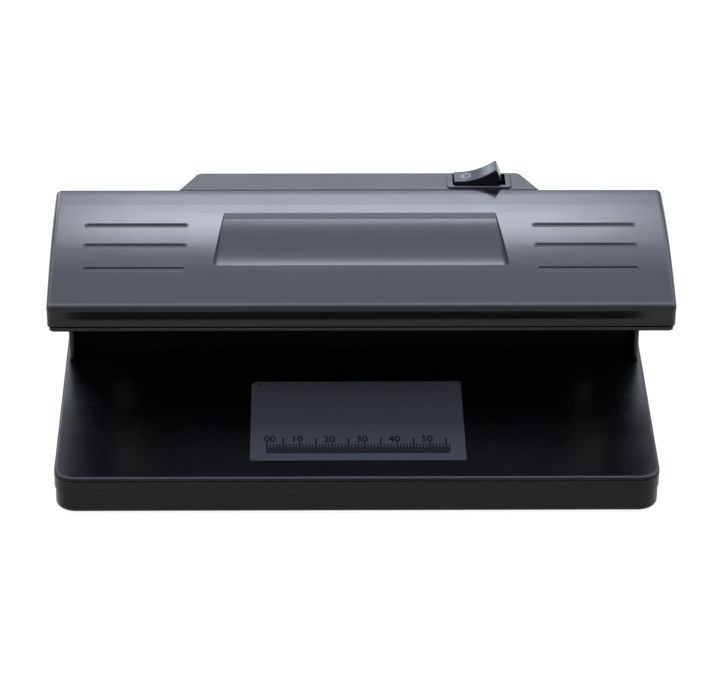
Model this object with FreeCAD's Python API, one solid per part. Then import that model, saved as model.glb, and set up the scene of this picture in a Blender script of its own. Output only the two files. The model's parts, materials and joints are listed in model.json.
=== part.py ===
"""Ultraviolet counterfeit bill detector: a flat base, a rear column and a hood that holds a 4 W tube.

The frame is +Z up, +X to the user's right and +Y to the back. The origin is on the table, under the middle
of the body. Lengths are millimetres. Stations along the depth are given as distances behind the base's
front edge, and back() turns such a distance into a Y coordinate.
"""

import math
import os

import FreeCAD, Part

V = FreeCAD.Vector
Y_AXIS, UP = V(0, 1, 0), V(0, 0, 1)
THROUGH = 1.0

# ---------------------------------------------------------------- driving dimensions
HOOD_WIDTH = 192.4
BASE_WIDTH = 184.0
COLUMN_WIDTH = 181.6
BODY_DEPTH = 106.0
BASE_SHIFT = -1.6
WALL = 2.0

FOOT_HEIGHT = 0.4
SPLIT_Z = 6.7
PLATE_Z = 12.8
SEAM_INSET = 0.3
RIM_GROOVE_Z, RIM_GROOVE_DEPTH = (PLATE_Z - 1.5, PLATE_Z - 1.0), 0.4
TRAY_Z = 44.4
COVER_Z = 45.8
HOOD_TOP_Z = 62.8
REAR_TOP_Z = 62.5

CHEEK_FRONT = 70.2
PANEL_FRONT = 78.0
COLUMN_BACK = 93.0
LIP_FRONT = 32.9
REAR_BACK = 105.0

REAR_HALF_INNER = 57.5
REAR_HALF_OUTER = 51.5
REAR_WALL = 1.9
REAR_BOTTOM_Z = 14.5

HOOD_FLAT = 89.5
HOOD_FLAT_RADIUS = 80.0
HOOD_CORNER = 59.2
HOOD_RADIUS = 160.0
HOOD_BACK_SLOPE = math.radians(1.5)
HOOD_FRONT_SLOPE = math.radians(18.0)
HOOD_WEBS = (-64.0, -32.0, 0.0, 32.0, 64.0)
LIP_FOOT_Z, LIP_UNDERCUT, LIP_FOOT_RADIUS = 48.2, 1.15, 6.0
TRAY_INSET = 0.6

RECESS_REAR, RECESS_FRONT = 77.3, 50.3
RECESS_HALF_REAR, RECESS_HALF_FRONT = 42.6, 45.8
RECESS_STEP, RECESS_STEP_LENGTH, RECESS_FLOOR = 1.05, 1.8, 1.0
RECESS_CREST, RECESS_VALLEY, RECESS_END = 71.0, 57.8, 52.2
RECESS_SLOPES = [math.radians(angle) for angle in (8.0, 17.5, 6.0)]
RECESS_BLEND = (4.4, 4.8)
GROOVE_STATIONS, GROOVE_REACH = (48.8, 59.7, 70.3), (54.9, 84.9)
GROOVE_RADIUS, GROOVE_LIFT, GROOVE_RIM = 0.95, 0.2, 0.5

TUBE_BACK = 64.0
TUBE_Z = 46.5
TUBE_RADIUS = 7.9
TUBE_FACE = 68.0
HOLDER_HALF_DEPTH = 8.6
PIN_RADIUS = 1.18
PIN_OFFSET = 2.375

SWITCH_X = 38.3
SWITCH_BACK = 98.75
SWITCH_PIVOT_Z = 62.0
SWITCH_FLOOR_Z = 51.9
SWITCH_HALF_THROW = 17.5
ROCKER_VALLEY, ROCKER_CURVE = 2.4, 20.0
ROCKER_TIP = (7.05, 4.5)
PIVOT_RADIUS = 0.7
BEZEL_HALF, BEZEL_HEIGHT = (10.3, 5.0), 0.55
WELL_HALF = (8.4, 3.75)
LEVER_PIVOT_Z, LEVER_HALF_THROW = SWITCH_PIVOT_Z - 8.7, 8.0
TERMINAL_BOTTOM_Z = 41.5
TERMINAL_X = (SWITCH_X, SWITCH_X + 6.5)

SCREW_RADIUS = 1.45
SCREW_HEAD_RADIUS = 2.9
SCREW_HEAD_HEIGHT = 1.8
PILOT_RADIUS = 1.5
FIT = 0.1

FOOT_PLACES = [(x, f) for x in (-80.0, 80.0) for f in (17.0, 77.0)]
BASE_SCREWS = [(-60.0, 12.0), (60.0, 12.0)]
COLUMN_SCREWS = [(x, 87.6) for x in (-85.6, -62.0, 62.0, 85.6)]
HOOD_SCREWS = [(x, f) for x in (-87.0, 87.0) for f in (43.0, 65.0)]
REAR_SCREWS = [(-46.0, 20.5), (46.0, 20.5), (-44.0, 55.0), (20.0, 55.0)]
PANEL_SCREWS = [(-74.0, 28.0), (74.0, 28.0)]
BOARD = {"x": (-22.0, 42.0), "z": (18.5, 37.5), "back": (100.0, 101.6)}
LAMP_CONNECTOR_DEPTH = 7.0
LEAD_RADIUS = 0.55
BOARD_POSTS = [(-18.5, 21.5), (38.5, 21.5), (-18.5, 34.5)]
GLAND_PLACE = (-32.0, 24.0)
LABEL_SIZE = (66.0, 47.0)
LABEL_FRONT = 9.7
LABEL_X = -1.2

NODES = {}


# ---------------------------------------------------------------- helpers
def back(distance):
    """The Y coordinate of a station that many millimetres behind the base's front edge."""
    return distance - BODY_DEPTH / 2


def at(x, distance, z):
    return V(x, back(distance), z)


def box(x_range, back_range, z_range):
    """A block between two X values, two stations and two heights."""
    size = [high - low for low, high in (x_range, back_range, z_range)]
    return Part.makeBox(*size, at(x_range[0], back_range[0], z_range[0]))


def rod(radius, start, end):
    """A cylinder between two points."""
    return Part.makeCylinder(radius, (end - start).Length, start, end - start)


def rounded_face(corners, place):
    """A face inside a polygon of (a, b, radius) corners. place turns (a, b) into a point."""
    points = [V(a, b, 0) for a, b, _ in corners]
    edges, joints = [], []
    for i, (_, _, radius) in enumerate(corners):
        here, before, after = points[i], points[i - 1], points[(i + 1) % len(points)]
        to_before = (before - here).normalize()
        to_after = (after - here).normalize()
        if radius == 0:
            joints.append((here, here, here))
            continue
        half = to_before.getAngle(to_after) / 2
        reach = radius / math.tan(half)
        middle = (to_before + to_after).normalize() * (radius / math.sin(half) - radius)
        joints.append((here + to_before * reach, here + middle, here + to_after * reach))
    for i, (start, middle, end) in enumerate(joints):
        if (end - start).Length > 1e-7:
            edges.append(Part.Arc(*[place(p.x, p.y) for p in (start, middle, end)]).toShape())
        following = joints[(i + 1) % len(joints)][0]
        if (following - end).Length > 1e-7:
            edges.append(Part.LineSegment(place(end.x, end.y), place(following.x, following.y)).toShape())
    return Part.Face(Part.Wire(edges))


def plan_prism(corners, z_range):
    """A prism that stands on a plan outline of (x, station, radius) corners."""
    face = rounded_face(corners, lambda x, f: at(x, f, z_range[0]))
    return face.extrude(V(0, 0, z_range[1] - z_range[0]))


def side_prism(corners, x_range):
    """A prism across the body with a side outline of (station, z, radius) corners."""
    face = rounded_face(corners, lambda f, z: at(x_range[0], f, z))
    return face.extrude(V(x_range[1] - x_range[0], 0, 0))


def front_prism(corners, back_range):
    """A prism along the depth with a front outline of (x, z, radius) corners."""
    face = rounded_face(corners, lambda x, z: at(x, back_range[0], z))
    return face.extrude(V(0, back_range[1] - back_range[0], 0))


def rectangle(a_range, b_range, radius=0.0):
    (a0, a1), (b0, b1) = a_range, b_range
    return [(a0, b0, radius), (a1, b0, radius), (a1, b1, radius), (a0, b1, radius)]


def fused(shapes):
    whole = shapes[0]
    if len(shapes) > 1:
        whole = whole.fuse(shapes[1:])
    return whole.removeSplitter()


def edges_where(shape, test):
    """The edges whose bounding box passes a test."""
    return [e for e in shape.Edges if test(e.BoundBox)]


def bundle(shapes):
    return Part.makeCompound(shapes)


def on_base(shape):
    """The shape moved sideways from the hood's middle plane to the base's."""
    return shape.translated(V(BASE_SHIFT, 0, 0))


def tube_along(points, radius, bend):
    """A round wire along straight runs joined by tangent arcs of one bend radius."""
    edges, start = [], points[0]
    for here, after in zip(points[1:-1], points[2:]):
        to_before = (start - here).normalize()
        to_after = (after - here).normalize()
        half = to_before.getAngle(to_after) / 2
        reach = bend / math.tan(half)
        middle = here + (to_before + to_after).normalize() * (bend / math.sin(half) - bend)
        arc_start, arc_end = here + to_before * reach, here + to_after * reach
        edges.append(Part.LineSegment(start, arc_start).toShape())
        edges.append(Part.Arc(arc_start, middle, arc_end).toShape())
        start = arc_end
    edges.append(Part.LineSegment(start, points[-1]).toShape())
    path = Part.Wire(edges)
    circle = Part.Wire([Part.Circle(points[0], points[1] - points[0], radius).toShape()])
    return path.makePipeShell([circle], True, False)


def pan_screw(seat, direction, length):
    """A self-tapping screw: a pan head with a cross recess on its seat, and a shank along direction."""
    axis = direction.normalize()
    head_top = seat - axis * SCREW_HEAD_HEIGHT
    head = rod(SCREW_HEAD_RADIUS, head_top, seat)
    rim = [e for e in head.Edges if abs((e.BoundBox.Center - head_top).Length) < 0.01]
    head = head.makeFillet(0.7, rim)
    shank = rod(SCREW_RADIUS, seat, seat + axis * (length - 1.5))
    tip = Part.makeCone(SCREW_RADIUS, 0.4, 1.5, seat + axis * (length - 1.5), axis)
    across = V(axis.y, axis.z, axis.x)
    cross = []
    for arm in (across, axis.cross(across)):
        side = axis.cross(arm)
        low = head_top - arm * 1.7 - side * 0.35
        corners = [low, low + arm * 3.4, low + arm * 3.4 + side * 0.7, low + side * 0.7, low]
        cross.append(Part.Face(Part.makePolygon(corners)).extrude(axis * 1.1))
    return fused([head, shank, tip]).cut(fused(cross))


def hood_corner_z():
    """The height where the roof's two straight slopes would meet."""
    return HOOD_TOP_Z - (HOOD_FLAT - HOOD_CORNER) * math.tan(HOOD_BACK_SLOPE)


def hood_top_z(distance):
    """The height of the hood's outer top: level at the back, then a line, an arc and a line in front."""
    corner_z = hood_corner_z()
    turn = HOOD_FRONT_SLOPE - HOOD_BACK_SLOPE
    reach = HOOD_RADIUS * math.tan(turn / 2)
    arc_back = HOOD_CORNER + reach * math.cos(HOOD_BACK_SLOPE)
    arc_front = HOOD_CORNER - reach * math.cos(HOOD_FRONT_SLOPE)
    if distance >= HOOD_FLAT:
        return HOOD_TOP_Z
    if distance >= arc_back:
        return corner_z + (distance - HOOD_CORNER) * math.tan(HOOD_BACK_SLOPE)
    if distance <= arc_front:
        return corner_z - (HOOD_CORNER - distance) * math.tan(HOOD_FRONT_SLOPE)
    centre = arc_back + HOOD_RADIUS * math.sin(HOOD_BACK_SLOPE)
    arc_back_z = corner_z + reach * math.sin(HOOD_BACK_SLOPE)
    centre_z = arc_back_z - HOOD_RADIUS * math.cos(HOOD_BACK_SLOPE)
    return centre_z + math.sqrt(HOOD_RADIUS**2 - (centre - distance) ** 2)


# ---------------------------------------------------------------- base
def base_outline(inset):
    half, front, rear = BASE_WIDTH / 2 - inset, inset, COLUMN_BACK - inset
    front_radius, rear_radius = 6.6 - inset, 5.5 - inset
    return [(-half, front, front_radius), (half, front, front_radius),
            (half, rear, rear_radius), (-half, rear, rear_radius)]


def base_bottom_cover():
    """The lower shell: a shallow tray with feet pockets, a tongue at the split and a label pocket."""
    floor = 2.0
    shell = plan_prism(base_outline(SEAM_INSET), (FOOT_HEIGHT, SPLIT_Z))
    shell = shell.makeFillet(1.2, edges_where(shell, lambda b: b.ZMax < FOOT_HEIGHT + 0.01))
    shell = shell.cut(plan_prism(base_outline(WALL), (FOOT_HEIGHT + floor, SPLIT_Z)))
    tongue = plan_prism(base_outline(1.1), (SPLIT_Z - 1.5, SPLIT_Z + 1.2))
    tongue = tongue.cut(plan_prism(base_outline(WALL), (SPLIT_Z - 1.5, SPLIT_Z + 1.2)))
    solids = [shell, tongue]
    for x in (-70.0, -35.0, 35.0, 70.0):
        solids.append(box((x - 0.7, x + 0.7), (20.0, 80.0), (FOOT_HEIGHT + 1.0, 5.2)))
    solids.append(box((-88.0, 88.0), (44.3, 45.7), (FOOT_HEIGHT + 1.0, 5.2)))
    for x, f in BASE_SCREWS + COLUMN_SCREWS:
        solids.append(rod(4.2, at(x, f, FOOT_HEIGHT + 1.0), at(x, f, SPLIT_Z - 0.2)))
    for x, f in FOOT_PLACES:
        solids.append(rod(7.4, at(x, f, FOOT_HEIGHT + 1.0), at(x, f, FOOT_HEIGHT + 2.9)))
    whole = fused(solids)
    for x, f in BASE_SCREWS + COLUMN_SCREWS:
        whole = whole.cut(rod(SCREW_HEAD_RADIUS + 0.3, at(x, f, 0), at(x, f, FOOT_HEIGHT + 2.3)))
        whole = whole.cut(rod(SCREW_RADIUS + 0.2, at(x, f, 0), at(x, f, SPLIT_Z)))
    for x, f in FOOT_PLACES:
        whole = whole.cut(rod(6.1, at(x, f, 0), at(x, f, FOOT_HEIGHT + 1.2)))
    pocket = plan_prism(rectangle((-31.0, 31.0), (29.0, 61.0), 1.5), (0, FOOT_HEIGHT + 0.35))
    return whole.cut(pocket)


def base_top_plate():
    """The upper shell: the flat table for the bill, with a groove below its rim, bosses and ribs."""
    roof = 2.2
    shell = plan_prism(base_outline(0), (SPLIT_Z, PLATE_Z))
    shell = shell.makeFillet(0.9, edges_where(shell, lambda b: b.ZMin > PLATE_Z - 0.01))
    shell = shell.makeChamfer(SEAM_INSET, edges_where(shell, lambda b: b.ZMax < SPLIT_Z + 0.01))
    around = plan_prism(base_outline(-THROUGH), RIM_GROOVE_Z)
    shell = shell.cut(around.cut(plan_prism(base_outline(RIM_GROOVE_DEPTH), RIM_GROOVE_Z)))
    shell = shell.cut(plan_prism(base_outline(WALL + 0.1), (SPLIT_Z, PLATE_Z - roof)))
    rebate = plan_prism(base_outline(1.0), (SPLIT_Z, SPLIT_Z + 1.3))
    rebate = rebate.cut(plan_prism(base_outline(WALL + 0.1), (SPLIT_Z, SPLIT_Z + 1.3)))
    solids = [shell]
    for x in (-52.0, -17.0, 17.0, 52.0):
        solids.append(box((x - 0.7, x + 0.7), (4.0, 88.0), (8.2, PLATE_Z - 1.0)))
    solids.append(box((-89.0, 89.0), (30.0, 31.4), (8.2, PLATE_Z - 1.0)))
    for x, f in BASE_SCREWS + COLUMN_SCREWS:
        solids.append(rod(3.6, at(x, f, SPLIT_Z), at(x, f, PLATE_Z - 1.0)))
    whole = fused(solids).cut(rebate)
    for x, f in BASE_SCREWS:
        whole = whole.cut(rod(PILOT_RADIUS, at(x, f, 0), at(x, f, PLATE_Z - 1.4)))
    for x, f in COLUMN_SCREWS:
        whole = whole.cut(rod(PILOT_RADIUS + 0.2, at(x, f, 0), at(x, f, PLATE_Z + 1.0)))
    return whole


def rubber_feet():
    feet = []
    for x, f in FOOT_PLACES:
        foot = rod(6.0, at(x, f, 0), at(x, f, FOOT_HEIGHT + 1.2))
        feet.append(foot.makeFillet(0.6, edges_where(foot, lambda b: b.ZMax < 0.01)))
    return bundle(feet)


def ruler_label():
    left, right = LABEL_X - LABEL_SIZE[0] / 2, LABEL_X + LABEL_SIZE[0] / 2
    rear = LABEL_FRONT + LABEL_SIZE[1]
    corners = [(left, LABEL_FRONT, 0.6), (right, LABEL_FRONT, 0.6), (right, rear, 0.6), (left, rear, 2.4)]
    return plan_prism(corners, (PLATE_Z, PLATE_Z + 0.25))


def rating_label():
    return plan_prism(rectangle((-30.5, 30.5), (29.5, 60.5), 1.2), (FOOT_HEIGHT + 0.1, FOOT_HEIGHT + 0.35))


def base_screws():
    seat = FOOT_HEIGHT + 2.3
    return bundle([pan_screw(at(x, f, seat), UP, 7.0) for x, f in BASE_SCREWS])


def column_screws():
    seat = FOOT_HEIGHT + 2.3
    return bundle([pan_screw(at(x, f, seat), UP, 18.0) for x, f in COLUMN_SCREWS])


# ---------------------------------------------------------------- column
def column_housing():
    """The upright behind the table: two cheeks and a back wall, open in front and behind the electronics."""
    half = COLUMN_WIDTH / 2
    inner = half - WALL
    outer_radius, inner_radius = 1.5, 0.4
    plan = [(-half, CHEEK_FRONT, outer_radius), (-inner, CHEEK_FRONT, inner_radius),
            (-inner, COLUMN_BACK - WALL, 2.0), (inner, COLUMN_BACK - WALL, 2.0),
            (inner, CHEEK_FRONT, inner_radius), (half, CHEEK_FRONT, outer_radius),
            (half, COLUMN_BACK, 4.0), (-half, COLUMN_BACK, 4.0)]
    solids = [plan_prism(plan, (PLATE_Z, TRAY_Z))]
    for x, f in COLUMN_SCREWS:
        solids.append(rod(3.8, at(x, f, PLATE_Z), at(x, f, TRAY_Z - 0.1)))
    for side in (-1, 1):
        wall_x = side * (half - WALL - 0.7)
        low, high = sorted((wall_x - 1.0, wall_x + 1.0))
        solids.append(box((low, high), (PANEL_FRONT + 2.0, PANEL_FRONT + 3.6), (PLATE_Z, TRAY_Z - 1)))
    for x, z in PANEL_SCREWS:
        solids.append(rod(3.4, at(x, PANEL_FRONT + 2.0, z), at(x, COLUMN_BACK - 1, z)))
    whole = fused(solids)
    for x, f in COLUMN_SCREWS:
        whole = whole.cut(rod(PILOT_RADIUS, at(x, f, PLATE_Z), at(x, f, PLATE_Z + 18)))
    for x, z in PANEL_SCREWS:
        whole = whole.cut(rod(PILOT_RADIUS, at(x, PANEL_FRONT, z), at(x, PANEL_FRONT + 10, z)))
    for rear_x, z in REAR_SCREWS[:2]:
        x = rear_x - BASE_SHIFT
        boss = rod(3.6, at(x, COLUMN_BACK - 7, z), at(x, COLUMN_BACK - 1, z))
        whole = whole.fuse(boss).cut(rod(PILOT_RADIUS, at(x, COLUMN_BACK - 6, z), at(x, COLUMN_BACK, z)))
    opening = front_prism(rectangle((-41.0, 41.0), (17.0, 43.0), 3.0), (COLUMN_BACK - 4, COLUMN_BACK + 1))
    whole = whole.cut(opening)
    reveal_z, reveal_depth = (PLATE_Z, PLATE_Z + 0.9), 0.8
    around = rectangle((-half - THROUGH, half + THROUGH), (CHEEK_FRONT - THROUGH, COLUMN_BACK + THROUGH))
    kept = rectangle((-half + reveal_depth, half - reveal_depth),
                     (CHEEK_FRONT + reveal_depth, COLUMN_BACK - reveal_depth))
    reveal = plan_prism(around, reveal_z).cut(plan_prism(kept, reveal_z))
    return whole.cut(reveal).removeSplitter()


def column_panel():
    """The flat front wall of the electronics space, between the cheeks."""
    half = COLUMN_WIDTH / 2 - WALL - FIT
    panel = front_prism(rectangle((-half, half), (PLATE_Z + FIT, TRAY_Z - FIT), 0.8),
                        (PANEL_FRONT, PANEL_FRONT + 1.8))
    for x, z in PANEL_SCREWS:
        panel = panel.cut(rod(SCREW_RADIUS + 0.2, at(x, PANEL_FRONT - 1, z), at(x, PANEL_FRONT + 3, z)))
    return panel


def panel_screws():
    return bundle([pan_screw(at(x, PANEL_FRONT, z), Y_AXIS, 9.0) for x, z in PANEL_SCREWS])


# ---------------------------------------------------------------- hood
def hood_outline(inset):
    """The hood's side outline, a given wall inside its outer surface. The outer lip leans back to its foot."""
    front, rear = LIP_FRONT + inset, COLUMN_BACK - inset
    drop_front = inset / math.cos(HOOD_FRONT_SLOPE)
    front_z = hood_corner_z() - (HOOD_CORNER - front) * math.tan(HOOD_FRONT_SLOPE) - drop_front
    flat = HOOD_FLAT + inset * math.sin(HOOD_BACK_SLOPE / 2)
    turn = (HOOD_FRONT_SLOPE + HOOD_BACK_SLOPE) / 2
    middle = HOOD_CORNER + inset * math.sin(turn)
    middle_z = hood_corner_z() - inset * math.cos(turn)
    if inset == 0:
        rear_radius, flat_radius, foot = 1.3, HOOD_FLAT_RADIUS, front + LIP_UNDERCUT
        lip = [(front, front_z, 2.0), (foot, LIP_FOOT_Z, LIP_FOOT_RADIUS), (foot, COVER_Z, 0)]
    else:
        rear_radius, flat_radius = 0.6, 0
        lip = [(front, front_z, 0.6), (front, COVER_Z, 0)]
    roof = [(rear, COVER_Z, 0), (rear, HOOD_TOP_Z - inset, rear_radius), (flat, HOOD_TOP_Z - inset, flat_radius),
            (middle, middle_z, HOOD_RADIUS - inset)]
    return roof + lip


def recess_side(drop):
    """The recess's side outline, lowered by drop: a short steep step at the rear, a long scoop, a front wall."""
    crest_slope, scoop_slope, end_slope = [math.tan(angle) for angle in RECESS_SLOPES]
    foot = RECESS_REAR - RECESS_STEP_LENGTH
    foot_z = hood_top_z(RECESS_REAR) - RECESS_STEP - drop
    crest_z = foot_z - (foot - RECESS_CREST) * crest_slope
    valley_z = crest_z - (RECESS_CREST - RECESS_VALLEY) * scoop_slope
    end_z = valley_z - (RECESS_VALLEY - RECESS_END) * end_slope
    crest_turn = (RECESS_SLOPES[1] - RECESS_SLOPES[0]) / 2
    valley_turn = (RECESS_SLOPES[1] - RECESS_SLOPES[2]) / 2
    crest_radius = RECESS_BLEND[0] / math.tan(crest_turn)
    valley_radius = RECESS_BLEND[1] / math.tan(valley_turn)
    return [(RECESS_REAR, hood_top_z(RECESS_REAR) - drop, 0), (foot, foot_z, 0.8),
            (RECESS_CREST, crest_z, crest_radius), (RECESS_VALLEY, valley_z, valley_radius),
            (RECESS_END, end_z, 0.6), (RECESS_FRONT, hood_top_z(RECESS_FRONT) - drop, 0)]


def recess_block(side_corners, margin):
    """The block with the given side outline and the recess's trapezoid plan, widened by a margin."""
    across, heights = (-HOOD_WIDTH / 2, HOOD_WIDTH / 2), (TRAY_Z, HOOD_TOP_Z + 10)
    half_rear, half_front = RECESS_HALF_REAR + margin, RECESS_HALF_FRONT + margin
    radius = 0.8 if margin == 0 else 0
    plan = [(-half_front, RECESS_FRONT, radius), (half_front, RECESS_FRONT, radius),
            (half_rear, RECESS_REAR, radius), (-half_rear, RECESS_REAR, radius)]
    return side_prism(side_corners, across).common(plan_prism(plan, heights))


def recess_cutter():
    """The scooped name-plate recess: a trapezoid in plan with a scooped floor, deepest towards the front."""
    above_z = HOOD_TOP_Z + 5
    return recess_block(recess_side(0) + [(RECESS_FRONT, above_z, 0), (RECESS_REAR, above_z, 0)], 0)


def recess_backing():
    """Extra thickness inside the hood, under the recess."""
    side_wall, overlap = 1.8, 0.5
    below = recess_side(RECESS_FLOOR)
    above = [(f, hood_top_z(f) - overlap, 0) for f in (RECESS_FRONT, RECESS_REAR)]
    return recess_block(below + above, side_wall)


def groove_cutter(x_low, x_high, distance):
    """A half-round groove with round ends, sunk into the hood's top along X."""
    slope = math.atan(hood_top_z(distance + 0.5) - hood_top_z(distance - 0.5))
    centre = distance - GROOVE_LIFT * math.sin(slope)
    z = hood_top_z(distance) + GROOVE_LIFT
    low, high = at(x_low, centre, z), at(x_high, centre, z)
    ends = [Part.makeSphere(GROOVE_RADIUS, point) for point in (low, high)]
    return fused([rod(GROOVE_RADIUS, low, high)] + ends)


def hood_web(x):
    """A stiffening web between the front lip and the roof."""
    front, rear, overlap = LIP_FRONT + LIP_UNDERCUT + 0.5, 45.0, 1.0
    corners = [(front, LIP_FOOT_Z + 0.4, 0), (rear, hood_top_z(rear) - WALL - overlap, 0),
               (rear, hood_top_z(rear) - overlap, 0), (front, hood_top_z(front) - overlap, 0)]
    return side_prism(corners, (x - 0.6, x + 0.6))


def hood_boss(x, f):
    """A screw boss below the roof with a rib to the nearest end wall."""
    radius, half_rib, foot_z, overlap = 3.6, 0.6, 49.2, 1.0
    boss = rod(radius, at(x, f, foot_z), at(x, f, hood_top_z(f - radius) - overlap))
    rib_x = sorted((math.copysign(HOOD_WIDTH / 2 - overlap, x), x))
    rib_top = hood_top_z(f - half_rib) - overlap
    return boss.fuse(box(rib_x, (f - half_rib, f + half_rib), (foot_z, rib_top)))


def on_groove_rim(bounds):
    """Whether an edge's bounding box lies on the rim of one of the grooves."""
    near = [d for d in GROOVE_STATIONS if abs(bounds.Center.y - back(d)) < GROOVE_RADIUS + 0.2]
    inside = GROOVE_REACH[0] - 2 < abs(bounds.Center.x) < GROOVE_REACH[1] + 2
    return bool(near) and inside and bounds.ZMin > hood_top_z(near[0]) - 0.5


def hood_cover():
    """The top shell: a curved roof with a front lip, end walls, a scooped recess and two sets of grooves."""
    half = HOOD_WIDTH / 2
    outer = side_prism(hood_outline(0), (-half, half))
    end_edges = edges_where(outer, lambda b: b.XLength < 0.01 and b.ZMax > COVER_Z + 1)
    outer = outer.makeFillet(1.8, end_edges)
    shell = outer.cut(side_prism(hood_outline(WALL), (-half + WALL, half - WALL)))
    solids = [shell, recess_backing()]
    solids += [hood_boss(x, f) for x, f in HOOD_SCREWS]
    solids += [hood_web(x) for x in HOOD_WEBS]
    for x, z in REAR_SCREWS[2:]:
        solids.append(rod(3.4, at(x, COLUMN_BACK - 6, z), at(x, COLUMN_BACK - 1, z)))
    whole = fused(solids).cut(recess_cutter())
    for distance in GROOVE_STATIONS:
        for side in (-1, 1):
            low, high = sorted(side * reach for reach in GROOVE_REACH)
            whole = whole.cut(groove_cutter(low, high, distance))
    whole = whole.makeFillet(GROOVE_RIM, edges_where(whole, on_groove_rim))
    for x, f in HOOD_SCREWS:
        whole = whole.cut(rod(PILOT_RADIUS, at(x, f, 48.0), at(x, f, TRAY_Z + 9.6)))
    for x, z in REAR_SCREWS[2:]:
        whole = whole.cut(rod(PILOT_RADIUS, at(x, COLUMN_BACK - 5.2, z), at(x, COLUMN_BACK + 1, z)))
    return whole


def tray_outline(inset, radius):
    half, front, rear = HOOD_WIDTH / 2 - inset, LIP_FRONT + inset, COLUMN_BACK - inset
    return rectangle((-half, half), (front, rear), radius)


def hood_tray():
    """The hood's underside: a plate with the lamp opening, a rim inside the cover and screw pads."""
    plate = plan_prism(tray_outline(TRAY_INSET, 1.6), (TRAY_Z, COVER_Z - 0.05))
    plate = plate.makeFillet(0.6, edges_where(plate, lambda b: b.ZMax < TRAY_Z + 0.01))
    upper = plan_prism(tray_outline(WALL + FIT, 0.4), (COVER_Z - 0.5, COVER_Z + 0.8))
    rim = plan_prism(tray_outline(WALL + FIT, 0.4), (COVER_Z, COVER_Z + 2.2))
    rim = rim.cut(plan_prism(tray_outline(WALL + FIT + 1.2, 0), (COVER_Z, COVER_Z + 2.2)))
    solids = [plate, upper, rim]
    for x, f in HOOD_SCREWS:
        solids.append(rod(4.2, at(x, f, TRAY_Z + 0.5), at(x, f, 49.1)))
    for side in (-1, 1):
        low, high = sorted((side * 78.4, side * 81.2))
        solids.append(box((low, high), (56.0, 72.0), (COVER_Z, 55.0)))
    whole = fused(solids)
    for x, f in HOOD_SCREWS:
        whole = whole.cut(rod(SCREW_HEAD_RADIUS + 0.3, at(x, f, 40.0), at(x, f, TRAY_Z + 2.2)))
        whole = whole.cut(rod(SCREW_RADIUS + 0.2, at(x, f, 40.0), at(x, f, 51.0)))
    lamp = plan_prism(rectangle((-78.4, 78.4), (51.0, 77.0), 2.0), (TRAY_Z - 1, COVER_Z + 1.2))
    wires = plan_prism(rectangle((-40.0, 56.0), (82.0, 89.0), 2.0), (TRAY_Z - 1, COVER_Z + 1.2))
    return whole.cut(lamp).cut(wires)


def hood_screws():
    seat = TRAY_Z + 2.2
    return bundle([pan_screw(at(x, f, seat), UP, 7.0) for x, f in HOOD_SCREWS])


# ---------------------------------------------------------------- rear cover
def rear_outline(inset, front_extra=0.0):
    lean = (REAR_HALF_INNER - REAR_HALF_OUTER) / (REAR_BACK - COLUMN_BACK)
    side_inset = inset * math.sqrt(1 + lean**2)
    front = COLUMN_BACK - front_extra
    near = REAR_HALF_INNER + lean * front_extra - side_inset
    far = REAR_HALF_OUTER + lean * inset - side_inset
    rear = REAR_BACK - inset
    radius = max(2.4 - inset, 0.6)
    return [(-near, front, 0), (near, front, 0), (far, rear, radius), (-far, rear, radius)]


def rear_cover():
    """The electronics cover behind the column, with the switch opening, vents, cord hole and screw wells."""
    shell = plan_prism(rear_outline(0), (REAR_BOTTOM_Z, REAR_TOP_Z))
    rounded = edges_where(shell, lambda b: b.ZLength < 0.01 and b.YMax > back(COLUMN_BACK) + 0.01)
    shell = shell.makeFillet(0.9, rounded)
    inner = plan_prism(rear_outline(REAR_WALL, 1.0), (REAR_BOTTOM_Z + REAR_WALL, REAR_TOP_Z - REAR_WALL))
    shell = shell.cut(inner)
    solids = [shell]
    for x, z in REAR_SCREWS:
        solids.append(rod(4.0, at(x, COLUMN_BACK, z), at(x, REAR_BACK - 1, z)))
    for x, z in BOARD_POSTS:
        solids.append(rod(2.8, at(x, BOARD["back"][1], z), at(x, REAR_BACK - 1, z)))
    whole = fused(solids)
    for x, z in REAR_SCREWS:
        whole = whole.cut(rod(SCREW_HEAD_RADIUS + 0.3, at(x, REAR_BACK - 5.0, z), at(x, REAR_BACK + 1, z)))
        whole = whole.cut(rod(SCREW_RADIUS + 0.2, at(x, COLUMN_BACK - 1, z), at(x, REAR_BACK, z)))
    for x, z in BOARD_POSTS:
        whole = whole.cut(rod(1.1, at(x, BOARD["back"][0], z), at(x, REAR_BACK - 1.2, z)))
    slot_x, slot_back = (SWITCH_X - 9.7, SWITCH_X + 9.7), (SWITCH_BACK - 4.35, SWITCH_BACK + 4.35)
    whole = whole.cut(box(slot_x, slot_back, (REAR_TOP_Z - 5, REAR_TOP_Z + 1)))
    for i in range(10):
        x = -22.0 + 4.0 * i
        slot = rectangle((x - 0.8, x + 0.8), (40.0, 50.0), 0.75)
        whole = whole.cut(front_prism(slot, (REAR_BACK - 3, REAR_BACK + 1)))
    x, z = GLAND_PLACE
    return whole.cut(rod(4.6, at(x, REAR_BACK - 4, z), at(x, REAR_BACK + 1, z)))


def rear_screws():
    return bundle([pan_screw(at(x, REAR_BACK - 5.0, z), V(0, -1, 0), 11.0) for x, z in REAR_SCREWS])


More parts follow.
